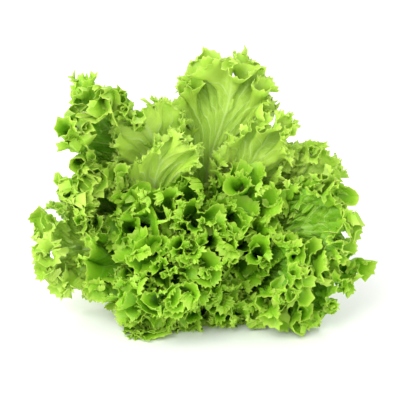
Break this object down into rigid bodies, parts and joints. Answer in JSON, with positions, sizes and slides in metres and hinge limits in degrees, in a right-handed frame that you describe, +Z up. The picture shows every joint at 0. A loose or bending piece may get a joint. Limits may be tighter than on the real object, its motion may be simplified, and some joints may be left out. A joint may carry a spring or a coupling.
{
  "type": "green leaf lettuce",
  "caption": "Head of green leaf lettuce lying on its side, its separate frilled leaves opening round a short cut stem.",
  "frame": {"origin": "on the surface that the head lies on, under the middle of its box", "axes": "+Z up from the surface, the crown of the head towards -Y and the cut butt towards +Y, +X to the right as seen from the crown's side"},
  "size_m": [0.281, 0.1798, 0.2166],
  "materials": {
    "leaf_green": "satin leaf skin",
    "heart_green": "satin young leaf skin",
    "stem_white": "moist pale stem flesh"
  },
  "bodies": {
    "root": {"stem": "stem_white", "outer_leaf_top": "leaf_green", "outer_leaf_upper_left": "leaf_green", "outer_leaf_left": "leaf_green", "outer_leaf_under_left": "leaf_green", "outer_leaf_under": "leaf_green", "outer_leaf_lower_right": "leaf_green", "outer_leaf_right": "leaf_green", "outer_leaf_upper_right": "leaf_green", "second_leaf_right": "leaf_green", "second_leaf_top": "leaf_green", "second_leaf_upper_left": "leaf_green", "second_leaf_lower_left": "leaf_green", "second_leaf_under": "leaf_green", "second_leaf_lower_right": "leaf_green", "second_leaf_front_right": "leaf_green", "middle_leaf_top": "leaf_green", "middle_leaf_upper_right": "leaf_green", "middle_leaf_right": "leaf_green", "middle_leaf_lower_right": "leaf_green", "middle_leaf_lower_left": "leaf_green", "middle_leaf_left": "leaf_green", "front_leaf_top": "leaf_green", "front_leaf_right": "leaf_green", "front_leaf_lower_right": "leaf_green", "front_leaf_lower_left": "leaf_green", "front_leaf_left": "leaf_green", "inner_leaf_01": "heart_green", "inner_leaf_02": "heart_green", "inner_leaf_03": "heart_green", "inner_leaf_04": "heart_green", "inner_leaf_05": "heart_green", "inner_leaf_06": "heart_green", "heart_leaf_01": "heart_green", "heart_leaf_02": "heart_green", "heart_leaf_03": "heart_green", "heart_leaf_04": "heart_green"}
  },
  "joints": []
}
